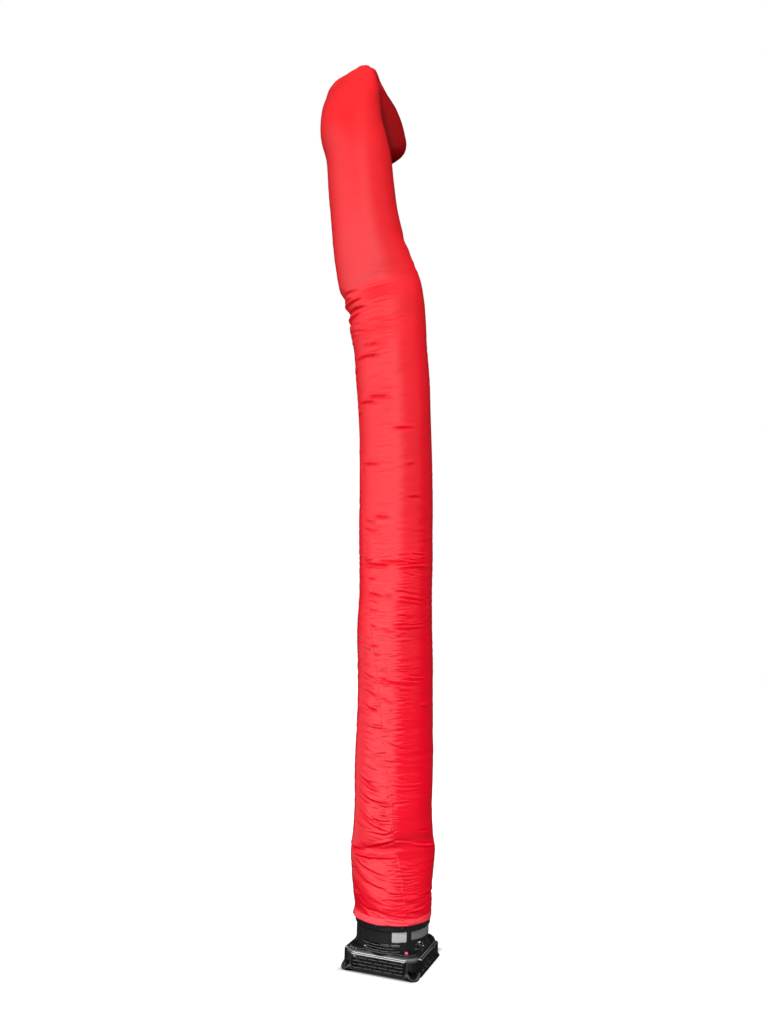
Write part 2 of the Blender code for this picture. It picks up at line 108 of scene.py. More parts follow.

# Cloth: its red low down and high up, with a painted light that makes it lighter and more
# orange high up, and where the hem lies double, the share of that left on the front of the
# flap under its painted shade, and the gloss left under the painted shade inside a crease.
RED_LOW = (0.86, 0.0003, 0.017)
RED_HIGH = (0.86, 0.0100, 0.016)
RED_FROM, RED_TO = 1.0, 4.5  # heights between which the one turns into the other
HEM_RED = (0.92, 0.035, 0.060)
FLAP_PAINTED_SHADE = 0.32
FLAP_FADE = 0.12  # metres past the crest over which that shade begins
# Painted shade in the creases: the gloss left there, and how deep or how steep under the upper
# lip a point must be for that painted shade to be whole.
CREASE_GLOSS = 0.06
SHADED_DEPTH = 0.0050  # how deep in a crease the cloth fully shades itself
SHADED_SLOPE = 0.5  # and how steep under its upper lip

# Tube: the cloth's girth, the seam that laps it and the hem that turns it up inside.
GIRTH = 1.140
SEAM_WIDTH = 0.010
LAP_UNDER = 0.0006  # from the lap to the cloth under it
HEM_DEPTH = 0.028
HEM_INSIDE = 0.0016  # from the cloth to the hem inside it
CLOTH_STEP = 0.0008  # raised where the cloth lies double
STEP_END = 60  # softnesses past an edge, by which a step has long ended
# Threads of the seam and the hem: how deep they pull the cloth, how far they lie to the left
# of the seam's middle or below the hem's top, and their half width.
SEAM_THREAD = (0.0022, 0.0015, 0.0020)
HEM_THREAD = (0.0018, 0.0020, 0.0024)
# The hem stands off the collar by up to about this much, up to about this far from its edge.
HEM_FLUTE = 0.0028
FLUTE_RUN = 0.03

# Collar: its radius, how far up the cloth its top lies, over what run the cloth is let go
# above it, and how close the cloth comes to it.
COLLAR_RADIUS = 0.175
COLLAR_RUN = 0.092
COLLAR_LETS_GO = 0.03
CLOTH_CLEAR = 0.0006

# Creases: how far their lips lie from the trough and how wide they are, how narrow the ends
# get, and how far out a crease is worked out, all as shares of its half width. Then the
# powers that shape its taper along it and its trough across it.
LIP_AWAY = 1.7
LIP_WIDTH = 1.3
END_WIDTH = 0.55
CREASE_REACH = 5
TAPER_POWER = 0.8
TROUGH_POWER = 1.5

# Puckers: by how many pitches they wander off level, the share of that on the seam itself
# and how far from it the rest comes in. The share of their depth that they have, how much
# patches of the cloth vary it, within what, and how much of it is left on the seam itself.
PUCKER_STRAY, STRAY_ON_SEAM, STRAY_REACH = 1.4, 0.3, 0.02
PUCKER_SHARE, PUCKER_PATCHES, PUCKER_RANGE = 0.60, 1.5, (0.05, 2)
PUCKER_ON_SEAM = 0.45
# The powers that shape a pucker's fade along it and its wave across it, and the wave's middle.
FADE_POWER, WAVE_POWER, WAVE_MIDDLE = 1.6, 0.8, 0.6
PUCKER_SAMPLES = 4000  # up the tube, to count the puckers by

# Faint folds: how they sag away from the seam, per metre squared, to the left up to a reach
# and to the right.
SAG_LEFT, SAG_REACH = 1.9, 0.24
SAG_RIGHT = 0.15
# The share of their depth that they have everywhere, what patches of the cloth add to it
# and how much that varies, within what, and the middle of their wave.
DRAWN_SHARE, DRAWN_PATCHES, PATCHES_VARY, PATCH_RANGE = 0.25, 0.4, 2.2, (0, 1.2)
DRAWN_MIDDLE = 0.45
# To the left they thin out over this far, from the first of these shares to the second.
LEFT_THINS, LEFT_SHARES = 0.20, (1.75, 0.35)
# The heights of the broad folds, with their middle, and of the swell under them, which
# comes in over this run above the hem's edge.
BROAD_FOLDS, BROAD_MIDDLE = 0.0020, 0.25
SWELL, SWELL_RUN = 0.0022, 0.05
# Towards its closed end the cloth gets plainer over this run, down to this share.
PLAIN_RUN, PLAIN_SHARE = 0.10, 0.15

# The cloth's mesh: where each stretch of rows ends, by metres run, and of columns, out from
# the seam, with the step in it, and then the step in the rest.
ROW_STEPS = ((1.20, 0.0030), (1.75, 0.0038), (2.80, 0.0066), (3.18, 0.0045))
ROW_STEP = 0.0180
COLUMN_STEPS = ((0.009, 0.0015), (0.051, 0.0084))
COLUMN_STEP = 0.0125
HEM_ROWS = 5
HEM_START = 0.001

# Sections up the tube as in the frame: height, middle across, half width, and degrees
# that the wide way has turned backwards. The half depth follows from the girth.
RISE = (
    # height, across, half_width, turn
    (0.2125, -0.004, 0.1835, 0),
    (0.240, -0.001, 0.1805, 0),
    (0.300, -0.004, 0.1835, 0),
    (0.335, -0.007, 0.1860, 0),
    (0.420, -0.008, 0.1950, 0),
    (0.500, -0.008, 0.2010, 0),
    (0.600, -0.012, 0.1905, 0),
    (0.700, -0.014, 0.1865, 0),
    (0.860, -0.016, 0.1895, 0),
    (1.040, -0.017, 0.1875, 0),
    (1.260, -0.020, 0.1850, 0),
    (1.560, -0.032, 0.1860, 0),
    (1.680, -0.031, 0.1825, 0),
    (2.000, -0.040, 0.1870, 0),
    (2.350, -0.050, 0.1870, 0),
    (2.620, -0.064, 0.1870, 0),
    (2.800, -0.079, 0.1925, 0),
    (3.000, -0.099, 0.1925, 0),
    (3.120, -0.116, 0.2020, 0),
    (3.210, -0.126, 0.2040, 0),
    (3.310, -0.155, 0.2170, 0),
    (3.420, -0.190, 0.2080, 0),
    (3.560, -0.227, 0.1950, 0),
    (3.740, -0.262, 0.1830, 3),
    (3.920, -0.287, 0.1800, 10),
    (4.080, -0.306, 0.1770, 18),
)

# The folded top, from the crease that the tube hangs over.
FOLD_OVER = (
    # up, out, along, turned, half_width, half_depth
    (-0.310, -0.162, 0.000, 0, 0.179, 0.156),
    (-0.200, -0.141, 0.000, 0, 0.177, 0.136),
    (-0.110, -0.113, 0.000, 4, 0.174, 0.108),
    (-0.030, -0.081, -0.002, 14, 0.164, 0.076),
    (0.042, -0.046, -0.006, 48, 0.149, 0.058),
    (0.066, 0.000, -0.008, 90, 0.148, 0.060),
    (0.042, 0.045, -0.010, 132, 0.146, 0.060),
    (-0.030, 0.080, -0.002, 164, 0.156, 0.078),
    (-0.110, 0.104, 0.012, 174, 0.170, 0.100),
    (-0.200, 0.120, 0.021, 180, 0.178, 0.112),
    (-0.280, 0.124, 0.028, 182, 0.179, 0.108),
    (-0.350, 0.120, 0.036, 184, 0.174, 0.086),
    (-0.405, 0.112, 0.044, 184, 0.148, 0.050),
    (-0.429, 0.110, 0.050, 184, 0.122, 0.014),
)
CREASE_AT = (-0.340, 0.150, 4.594)
CREST_ROW = 5  # of the table above, counted from 0
TOP_LEAN = math.radians(9.5)
CREASE_RISE = math.radians(15.0)
CREASE_TURN = math.radians(25.0)

# The seam that joins the cloth into a tube: metres run from the hem, and degrees round
# (0 right, 90 front, 180 left, 270 back).
SEAM = (
    # run, round
    (0.00, 73),
    (0.10, 75),
    (0.20, 79),
    (0.30, 86),
    (0.36, 91),
    (0.50, 94),
    (0.60, 98),
    (0.70, 101),
    (0.80, 107),
    (1.00, 115),
    (1.20, 123),
    (1.30, 126),
    (1.40, 131),
    (1.50, 138),
    (1.65, 147),
    (1.85, 152),
    (2.10, 158),
    (2.40, 165),
    (2.80, 172),
    (3.20, 178),
    (4.00, 185),
    (5.06, 190),
)

# Main creases, pressed in as soft troughs with a ridge above or below: where each
# begins and ends, how far its middle bows down the tube, half width, depth, and the
# ridge's height as a share of the depth (+ above the trough, - below).
CREASES = (
    # run, round, to_run, to_round, bow, half_width, depth, share
    # The deep fold above the hem's bulge.
    (0.314, 132, 0.360, 84, 0.000, 0.0050, 0.0055, 0.6),
    (0.362, 92, 0.352, 62, -0.002, 0.0036, 0.0040, -0.8),
    (0.352, 68, 0.322, 6, 0.004, 0.0040, 0.0050, -1.5),
    (0.322, 130, 0.330, 76, 0.004, 0.0110, 0.0035, 0.0),
    (0.294, 160, 0.297, 84, 0.004, 0.0036, 0.0028, -1.5),
    (0.280, 154, 0.270, 116, 0.001, 0.0036, 0.0030, 0.6),
    (0.308, 176, 0.306, 130, 0.003, 0.0090, 0.0035, 0.3),
    (0.313, 188, 0.304, 150, 0.001, 0.0050, 0.0060, 0.5),
    (0.380, 108, 0.395, 90, 0.000, 0.0038, 0.0040, 0.5),
    (0.400, 52, 0.394, 28, 0.000, 0.0045, 0.0030, 0.5),
    (0.362, 205, 0.352, 330, 0.010, 0.0090, 0.0100, -0.5),
    # Arcs that fall to the seam from the left.
    (0.652, 154, 0.583, 112, 0.010, 0.0046, 0.0050, 0.5),
    (0.627, 152, 0.566, 110, 0.010, 0.0040, 0.0040, 0.5),
    (0.590, 160, 0.524, 95, 0.022, 0.0043, 0.0055, 0.6),
    (0.565, 162, 0.512, 124, 0.008, 0.0037, 0.0042, 0.5),
    (0.500, 156, 0.425, 106, 0.012, 0.0056, 0.0045, 0.5),
    (0.460, 146, 0.398, 98, 0.006, 0.0046, 0.0050, 0.6),
    (0.463, 170, 0.404, 138, 0.006, 0.0050, 0.0050, 0.5),
    (0.470, 126, 0.414, 99, 0.003, 0.0037, 0.0035, 0.5),
    (0.395, 128, 0.386, 96, 0.004, 0.0037, 0.0030, 0.5),
    (0.124, 168, 0.052, 122, 0.010, 0.0050, 0.0045, 0.5),
    (0.100, 166, 0.045, 134, 0.006, 0.0037, 0.0035, 0.5),
    (0.152, 160, 0.122, 138, 0.003, 0.0037, 0.0030, 0.5),
    (0.262, 156, 0.216, 112, 0.006, 0.0040, 0.0030, 0.5),
    (0.236, 140, 0.205, 98, 0.004, 0.0034, 0.0026, 0.5),
    (0.176, 132, 0.150, 98, 0.004, 0.0034, 0.0024, 0.5),
    # Right of the seam.
    (0.600, 92, 0.592, 60, 0.004, 0.0034, 0.0034, -0.8),
    (0.613, 74, 0.612, 46, 0.001, 0.0031, 0.0026, -0.8),
    (0.524, 89, 0.532, 66, 0.002, 0.0031, 0.0030, 0.8),
    (0.062, 60, 0.078, 22, 0.004, 0.0037, 0.0045, -0.8),
    (0.048, 66, 0.055, 34, 0.002, 0.0031, 0.0032, -0.7),
    (0.108, 40, 0.098, -8, 0.002, 0.0087, 0.0075, 0.4),
    # Waist.
    (1.118, 150, 1.084, 121, 0.003, 0.0037, 0.0050, 0.5),
    (1.110, 156, 1.078, 136, 0.003, 0.0037, 0.0045, 0.5),
    (1.096, 120, 1.048, 62, 0.010, 0.0053, 0.0062, -0.5),
    (1.102, 76, 1.094, 42, 0.002, 0.0034, 0.0040, -0.8),
    (1.082, 82, 1.074, 52, 0.002, 0.0034, 0.0032, -0.8),
    (1.036, 144, 1.002, 116, 0.003, 0.0040, 0.0045, 0.5),
    (1.002, 114, 0.966, 90, 0.004, 0.0043, 0.0030, 0.5),
    (0.978, 154, 0.938, 116, 0.004, 0.0037, 0.0036, 0.5),
    (0.956, 140, 0.930, 115, 0.002, 0.0046, 0.0052, 0.5),
    (0.958, 160, 0.910, 142, 0.003, 0.0043, 0.0045, 0.5),
    (0.850, 166, 0.824, 148, 0.002, 0.0037, 0.0040, 0.5),
    (0.800, 104, 0.762, 74, 0.004, 0.0040, 0.0034, 0.5),
    (0.836, 138, 0.826, 122, 0.001, 0.0034, 0.0022, 0.5),
    (0.712, 106, 0.704, 86, 0.001, 0.0034, 0.0024, 0.5),
    (0.968, 50, 0.962, 36, 0.001, 0.0062, -0.0045, 0.0),
    (0.976, 78, 0.960, 64, 0.001, 0.0037, 0.0020, 0.5),
    # Middle.
    (1.238, 132, 1.236, 114, 0.000, 0.0040, 0.0040, 0.5),
    (1.204, 126, 1.192, 110, 0.001, 0.0034, 0.0035, 0.5),
    (1.338, 132, 1.320, 116, 0.001, 0.0037, 0.0035, 0.5),
    (1.318, 114, 1.298, 84, 0.003, 0.0034, 0.0032, 0.5),
    (1.334, 98, 1.342, 42, 0.003, 0.0040, 0.0058, -0.9),
    (1.380, 86, 1.378, 74, 0.000, 0.0037, 0.0036, 0.5),
    (1.296, 82, 1.292, 72, 0.000, 0.0031, 0.0030, 0.5),
    (1.493, 142, 1.474, 110, 0.002, 0.0045, 0.0068, -0.4),
    (1.476, 112, 1.471, 95, 0.000, 0.0034, 0.0034, 0.5),
    (1.471, 90, 1.452, 44, 0.003, 0.0050, 0.0062, -0.5),
    (1.500, 90, 1.482, 54, 0.002, 0.0040, 0.0045, 0.5),
    (1.456, 134, 1.438, 116, 0.001, 0.0037, 0.0036, 0.5),
    (1.412, 136, 1.404, 116, 0.001, 0.0037, 0.0034, 0.5),
    (1.560, 142, 1.556, 120, 0.001, 0.0038, 0.0040, 0.5),
    (1.586, 78, 1.572, 60, 0.001, 0.0038, 0.0038, 0.5),
    (1.640, 150, 1.620, 100, 0.004, 0.0050, 0.0095, -0.5),
    (1.652, 152, 1.650, 128, 0.001, 0.0034, 0.0045, 0.5),
    (1.667, 150, 1.664, 140, 0.000, 0.0031, 0.0040, 0.5),
    (1.647, 120, 1.636, 70, 0.003, 0.0042, 0.0065, -0.6),
    (1.619, 88, 1.637, 34, -0.003, 0.0046, 0.0080, -0.8),
    (1.658, 86, 1.645, 52, 0.001, 0.0034, 0.0038, 0.5),
    (1.682, 68, 1.676, 48, 0.000, 0.0034, 0.0036, 0.5),
    (1.870, 130, 1.854, 98, 0.002, 0.0056, 0.0062, 0.5),
    (1.812, 150, 1.782, 112, 0.001, 0.0060, 0.0055, 0.5),
    (1.852, 148, 1.832, 119, 0.002, 0.0060, 0.0045, 0.5),
    (1.782, 132, 1.776, 108, 0.001, 0.0034, 0.0024, 0.5),
    (1.956, 76, 1.964, 50, 0.000, 0.0056, 0.0052, 0.5),
    (1.978, 138, 1.970, 118, 0.001, 0.0034, 0.0022, 0.5),
    # Upper straight.
    (2.138, 152, 2.120, 112, -0.002, 0.0058, 0.0068, 0.5),
    (2.108, 160, 2.102, 142, 0.000, 0.0034, 0.0024, 0.5),
    (2.118, 74, 2.126, 60, 0.000, 0.0065, 0.0050, 0.5),
    (2.302, 100, 2.308, 56, 0.001, 0.0056, 0.0064, 0.5),
    (2.318, 82, 2.316, 62, 0.000, 0.0037, 0.0022, 0.5),
    (2.333, 106, 2.336, 90, 0.000, 0.0034, 0.0018, 0.5),
    (2.470, 166, 2.448, 116, -0.003, 0.0060, 0.0080, 0.6),
    (2.488, 140, 2.470, 94, -0.001, 0.0060, 0.0070, 0.5),
    (2.420, 178, 2.414, 152, 0.000, 0.0034, 0.0035, 0.5),
    (2.700, 172, 2.692, 104, -0.010, 0.0060, 0.0078, 0.6),
    (2.650, 186, 2.664, 158, 0.000, 0.0056, 0.0100, 0.4),
    (2.768, 142, 2.752, 104, -0.003, 0.0058, 0.0062, 0.5),
    (2.760, 112, 2.762, 92, 0.000, 0.0034, 0.0022, 0.5),
    # Kink.
    (3.018, 190, 2.984, 122, -0.006, 0.0058, 0.0140, 0.4),
    (3.046, 182, 3.044, 124, -0.004, 0.0058, 0.0125, 0.4),
    (3.128, 172, 3.100, 124, -0.002, 0.0056, 0.0060, 0.6),
    (3.082, 180, 3.076, 140, -0.002, 0.0050, 0.0060, 0.6),
    (2.958, 182, 2.954, 132, -0.003, 0.0048, 0.0080, 0.4),
    (3.002, 166, 3.010, 138, 0.002, 0.0040, 0.0055, 0.4),
    (2.928, 176, 2.880, 110, 0.004, 0.0045, 0.0036, 0.5),
    (2.905, 160, 2.872, 116, 0.002, 0.0040, 0.0030, 0.5),
    (2.888, 176, 2.840, 114, 0.003, 0.0045, 0.0034, 0.5),
    (2.870, 158, 2.838, 118, 0.002, 0.0040, 0.0026, 0.5),
    (2.856, 174, 2.810, 110, 0.003, 0.0045, 0.0030, 0.5),
    (2.832, 160, 2.800, 116, 0.002, 0.0040, 0.0024, 0.5),
    (2.946, 196, 2.950, 168, 0.000, 0.0070, 0.0080, 0.4),
    (3.140, 34, 3.160, -14, 0.003, 0.0056, 0.0045, 0.5),
    (3.200, 34, 3.215, -14, 0.003, 0.0056, 0.0055, 0.5),
    (3.262, 30, 3.280, -16, 0.003, 0.0050, 0.0050, 0.5),
    (3.558, 60, 3.542, 14, 0.003, 0.0060, 0.0050, 0.6),
    # The crest's ridge down the front.
    (4.600, 60, 4.200, 64, 0.000, 0.0120, -0.0060, 0.0),
)

# Main hollows pressed into the standing tube, as in the frame.
HOLLOWS = (
    # height, round, half_span, rise, half_height, depth
    (0.535, 110, 60, -0.015, 0.030, 0.004),
    (0.560, 40, 75, 0.010, 0.045, 0.005),
    (0.500, 265, 80, 0.015, 0.035, 0.009),
    (3.225, 180, 70, 0.030, 0.045, 0.010),
    (3.150, 175, 55, -0.020, 0.030, 0.008),
    (3.560, 20, 60, 0.010, 0.060, 0.006),
)

# Places where the cloth is pulled out (+) or drawn in (-).
PULLS = (
    # run, round, reach_run, reach_round, amount
    (4.490, 52, 0.060, 22, 0.016),
    (4.440, 96, 0.070, 26, -0.006),
    (3.115, 182, 0.055, 40, -0.016),
)

# Puckers that the seam's thread draws up: how deep, how far they reach to each side,
# and how close they lie, by metres run from the hem.
PUCKERS = (
    # run, depth, reach_left, reach_right, pitch
    (0.000, 0.0032, 0.050, 0.080, 0.0130),
    (0.030, 0.0042, 0.040, 0.110, 0.0140),
    (0.120, 0.0068, 0.055, 0.110, 0.0155),
    (0.265, 0.0056, 0.045, 0.070, 0.0155),
    (0.300, 0.0008, 0.030, 0.030, 0.0150),
    (0.370, 0.0009, 0.035, 0.030, 0.0136),
    (0.400, 0.0036, 0.060, 0.030, 0.0150),
    (0.560, 0.0036, 0.050, 0.060, 0.0160),
    (0.700, 0.0036, 0.050, 0.070, 0.0150),
    (0.900, 0.0048, 0.040, 0.095, 0.0150),
    (1.120, 0.0062, 0.030, 0.120, 0.0150),
    (1.260, 0.0056, 0.020, 0.080, 0.0150),
    (1.380, 0.0030, 0.020, 0.060, 0.0160),
    (1.700, 0.0024, 0.020, 0.050, 0.0170),
    (2.100, 0.0018, 0.020, 0.050, 0.0190),
    (2.600, 0.0018, 0.020, 0.070, 0.0190),
    (2.900, 0.0036, 0.030, 0.150, 0.0160),
    (3.100, 0.0015, 0.030, 0.080, 0.0200),
    (4.000, 0.0009, 0.030, 0.060, 0.0240),
    (5.060, 0.0012, 0.040, 0.040, 0.0220),
)

# Faint folds drawn in the cloth: how deep, the share of that to the seam's right, how far
# they reach to the right, and the share left beyond that.
DRAWN = (
    # run, depth, right_share, reach_right, beyond
    (0.000, 0.0048, 1.0, 0.10, 0.8),
    (0.030, 0.0080, 0.9, 0.12, 0.5),
    (0.070, 0.0095, 0.8, 0.20, 0.5),
    (0.110, 0.0100, 0.6, 0.13, 0.2),
    (0.270, 0.0085, 0.4, 0.08, 0.1),
    (0.310, 0.0020, 0.3, 0.06, 0.1),
    (0.390, 0.0030, 0.2, 0.05, 0.1),
    (0.500, 0.0085, 0.3, 0.08, 0.1),
    (0.650, 0.0060, 0.4, 0.08, 0.1),
    (0.900, 0.0070, 0.6, 0.10, 0.1),
    (1.200, 0.0058, 0.8, 0.13, 0.2),
    (1.400, 0.0048, 1.0, 0.24, 0.3),
    (1.700, 0.0044, 1.0, 0.28, 0.4),
    (2.200, 0.0030, 1.0, 0.32, 0.6),
    (2.900, 0.0036, 1.0, 0.40, 0.6),
    (3.150, 0.0020, 1.0, 0.40, 0.8),
    (4.000, 0.0008, 1.0, 0.40, 1.0),
    (5.060, 0.0016, 1.0, 0.40, 1.0),
)


def half_depth(half_width):
    """An ellipse of this half width keeps the tube's girth with this half depth."""
    return math.sqrt(2 * (GIRTH / (2 * math.pi)) ** 2 - half_width**2)


def sections():
    """Centre, half-width vector and half-depth vector of each section, in the lean frame."""
    found = []
    for index, (height, across, half_width, turn) in enumerate(RISE):
        before = RISE[max(index - 1, 0)]
        after = RISE[min(index + 1, len(RISE) - 1)]
        # The first two lie level and round, on the collar.
        on_collar = index < 2
        lean = 0 if on_collar else math.atan2(before[1] - after[1], after[0] - before[0])
        swing = math.radians(turn)
        right = np.array((math.cos(lean), 0, math.sin(lean)))
        back = np.array((0, 1, 0))
        wide = half_width * (math.cos(swing) * right - math.sin(swing) * back)
        depth = half_width if on_collar else half_depth(half_width)
        deep = -depth * (math.sin(swing) * right + math.cos(swing) * back)
        found.append((across, 0, height, *wide, *deep))
    up = np.array((-math.sin(TOP_LEAN), 0, math.cos(TOP_LEAN)))
    right = np.array((math.cos(TOP_LEAN), 0, math.sin(TOP_LEAN)))
    rising = np.array((math.cos(CREASE_RISE), 0, math.sin(CREASE_RISE)))
    back = np.array((0, 1, 0))
    crease = math.cos(CREASE_TURN) * rising - math.sin(CREASE_TURN) * back
    out = math.sin(CREASE_TURN) * right + math.cos(CREASE_TURN) * back
    for rise, reach, along, turned, half_width, depth in FOLD_OVER:
        turned = math.radians(turned)
        centre = np.array(CREASE_AT) + rise * up + reach * out + along * crease
        inward = math.cos(turned) * out - math.sin(turned) * up
        found.append((*centre, *(half_width * crease), *(-depth * inward)))
    return np.array(found)


SECTIONS = sections()
KNOTS = np.concatenate(
    ([0.0], np.cumsum(np.linalg.norm(np.diff(SECTIONS[:, :3], axis=0), axis=1)))
)
SLOPES = np.gradient(SECTIONS, KNOTS, axis=0)
TUBE_RUN = KNOTS[-1]
CREST_RUN = KNOTS[len(RISE) + CREST_ROW]


def section_at(run):
    """Sections on a smooth curve through the given ones, one for each value of run."""
    index = np.clip(np.searchsorted(KNOTS, run, side="right") - 1, 0, len(KNOTS) - 2)
    span = (KNOTS[index + 1] - KNOTS[index])[..., None]
    t = (run - KNOTS[index])[..., None] / span
    return (
        (2 * t**3 - 3 * t**2 + 1) * SECTIONS[index]
        + (t**3 - 2 * t**2 + t) * span * SLOPES[index]
        + (3 * t**2 - 2 * t**3) * SECTIONS[index + 1]
        + (t**3 - t**2) * span * SLOPES[index + 1]
    )


def by_run(table, run, column=1):
    """A table's column read at each run, between its rows."""
    rows = np.array(table, float)
    return np.interp(run, rows[:, 0], rows[:, column])


def bell(x):
    """1 at 0, falling smoothly to 0 at 1 and beyond."""
    return np.maximum(0.0, 1.0 - x * x) ** 2


def ridge(away, half_width):
    """1 on a line, falling off on both sides of it."""
    return np.exp(-((away / half_width) ** 2))


def step(height, past, softness):
    """This height before an edge, and 0 past it."""
    return height / (1 + np.exp(np.minimum(past / softness, STEP_END)))


def turned_off(turn, middle):
    """Degrees from the middle to a turn, the short way round."""
    return (turn - middle + 180) % 360 - 180


def beside_seam(round_to):
    """Metres round from the seam, the short way: - to its left, + to its right."""
    return (round_to + GIRTH / 2) % GIRTH - GIRTH / 2


def degrees_round(run, beside):
    """Degrees round the tube at this many metres to the seam's right, seen from outside."""
    return by_run(SEAM, run) - beside / GIRTH * 360


def form(run, beside):
    """Points of the tube's main form, in the lean frame, and its outward spokes."""
    section = section_at(run)
    turn = degrees_round(run, beside)
    angle = np.radians(turn)[..., None]
    spoke = np.cos(angle) * section[..., 3:6] + np.sin(angle) * section[..., 6:9]
    outward = spoke / np.linalg.norm(spoke, axis=-1, keepdims=True)
    height = section[..., 2]
    pressed = np.zeros(run.shape)
    for middle, at_turn, half_span, rise, half_height, depth in HOLLOWS:
        off = turned_off(turn, at_turn)
        above = height - middle - rise * np.radians(off)
        pressed += depth * bell(off / half_span) * bell(above / half_height)
    pressed[height > RISE[-1][0]] = 0
    for middle, at_turn, reach_run, reach_round, amount in PULLS:
        off = turned_off(turn, at_turn)
        pressed -= amount * bell((run - middle) / reach_run) * bell(off / reach_round)
    return section[..., :3] + spoke - pressed[..., None] * outward, outward


def crease_relief(run, beside):
    """Height of the cloth above its main form made by the creases."""
    relief = np.zeros(run.shape)
    for start, turn, end, to_turn, bow, half_width, depth, share in CREASES:
        first = (by_run(SEAM, start) - turn) / 360 * GIRTH
        last = (by_run(SEAM, end) - to_turn) / 360 * GIRTH
        length = math.hypot(last - first, end - start)
        along_way = np.array((last - first, end - start)) / length
        off = beside_seam(beside - first)
        rise = run - start
        t = (off * along_way[0] + rise * along_way[1]) / length
        away = (rise * along_way[0] - off * along_way[1]) + bow * (1 - (2 * t - 1) ** 2)
        near = (t > 0) & (t < 1) & (np.abs(away) < CREASE_REACH * half_width)
        t, away = t[near], away[near] / half_width
        # Each crease gets shallower and narrower towards both ends.
        fade = (4 * t * (1 - t)) ** TAPER_POWER
        narrow = END_WIDTH + (1 - END_WIDTH) * fade
        trough = np.exp(-(np.abs(away / narrow) ** TROUGH_POWER))
        lip = ridge(away - math.copysign(LIP_AWAY, share), LIP_WIDTH)
        relief[near] += depth * fade * (abs(share) * lip - trough)
    return relief


def noise_field(run, beside, stretch_round, stretch_run, seed):
    """Smooth noise on the cloth, about -1 to 1, that closes round the tube."""
    angle = 2 * math.pi * beside / GIRTH
    radius = GIRTH / (2 * math.pi)
    xs = (np.cos(angle) * radius / stretch_round).ravel()
    ys = (np.sin(angle) * radius / stretch_round).ravel()
    zs = (run / stretch_run).ravel()
    found = np.empty(run.size)
    for index in range(run.size):
        place = Vector((xs[index] + seed, ys[index] - seed, zs[index] + 3 * seed))
        found[index] = noise.noise(place)
    return found.reshape(run.shape)


def pucker_relief(run, beside):
    """Short puckers across the seam, rounded on top and sharp between."""
    away = np.abs(beside)
    depth = by_run(PUCKERS, run, 1)
    left, right = by_run(PUCKERS, run, 2), by_run(PUCKERS, run, 3)
    fade = np.exp(-((away / np.where(beside < 0, left, right)) ** FADE_POWER))
    # How many puckers lie below each run, so that their pitch can change up the tube.
    fine = np.linspace(0, TUBE_RUN + 0.1, PUCKER_SAMPLES)
    counted = np.cumsum(np.diff(fine) / by_run(PUCKERS, fine[1:], 4))
    counted = np.concatenate(([0.0], counted))
    wander = noise_field(run, beside, stretch_round=0.06, stretch_run=0.030, seed=11.3)
    stray = PUCKER_STRAY * wander * np.minimum(1, away / STRAY_REACH + STRAY_ON_SEAM)
    count = np.interp(run, fine, counted) + stray
    patch = noise_field(run, beside, stretch_round=0.06, stretch_run=0.018, seed=27.1)
    uneven = np.clip(PUCKER_SHARE + PUCKER_PATCHES * patch, *PUCKER_RANGE)
    flat_seam = np.clip(away / SEAM_WIDTH, PUCKER_ON_SEAM, 1)
    wave = np.abs(np.sin(math.pi * count)) ** WAVE_POWER - WAVE_MIDDLE
    return depth * uneven * fade * flat_seam * wave


def drawn_relief(run, beside):
    """Faint folds that the cloth's pull leaves: level ones, and arcs that fall to the seam."""
    to_left = SAG_LEFT * np.minimum(-beside, SAG_REACH) ** 2
    bent = run - np.where(beside < 0, to_left, SAG_RIGHT * beside**2)
    level = noise_field(bent, beside, stretch_round=0.11, stretch_run=0.0165, seed=5.7)
    broad = noise_field(bent, beside, stretch_round=0.17, stretch_run=0.040, seed=15.7)
    patch = noise_field(run, beside, stretch_round=0.10, stretch_run=0.05, seed=33.0)
    swell = noise_field(run, beside, stretch_round=0.30, stretch_run=0.16, seed=41.9)
    near_share, far_share = LEFT_SHARES
    left = np.clip(near_share + beside / LEFT_THINS, far_share, 1)
    # To the right the folds are whole up to half the reach, and gone at one and a half.
    reach, beyond = by_run(DRAWN, run, 3), by_run(DRAWN, run, 4)
    within = np.clip(1.5 - np.abs(beside) / reach, 0, 1)
    right = by_run(DRAWN, run, 2) * (beyond + (1 - beyond) * within)
    depth = by_run(DRAWN, run, 1) * np.where(beside < 0, left, right)
    patchy = DRAWN_SHARE + np.clip(DRAWN_PATCHES + PATCHES_VARY * patch, *PATCH_RANGE)
    return (
        depth * patchy * (np.sqrt(np.abs(level)) - DRAWN_MIDDLE)
        + BROAD_FOLDS * (BROAD_MIDDLE - np.abs(broad))
        + SWELL * swell * np.minimum(1, run / SWELL_RUN)
    )


def seam_relief(run, beside):
    """The seam's flat doubled strip, and the step at the top of the hem."""
    strip = step(CLOTH_STEP, np.abs(beside) - 0.5 * SEAM_WIDTH, softness=0.0010)
    sunk, aside, half_width = SEAM_THREAD
    strip -= sunk * ridge(beside + aside, half_width)
    band = step(CLOTH_STEP, run - HEM_DEPTH, softness=0.0008)
    sunk, below, half_width = HEM_THREAD
    return strip + band - sunk * ridge(run - HEM_DEPTH + below, half_width)


def hem_flute(run, beside):
    """The hem's edge stands off the collar unevenly."""
    wide = noise_field(run * 0, beside, stretch_round=0.05, stretch_run=1.0, seed=63.0)
    narrow = noise_field(run * 0, beside, stretch_round=0.016, stretch_run=1.0, seed=7.0)
    return HEM_FLUTE * (wide + 0.8 * narrow) * ridge(run, FLUTE_RUN)


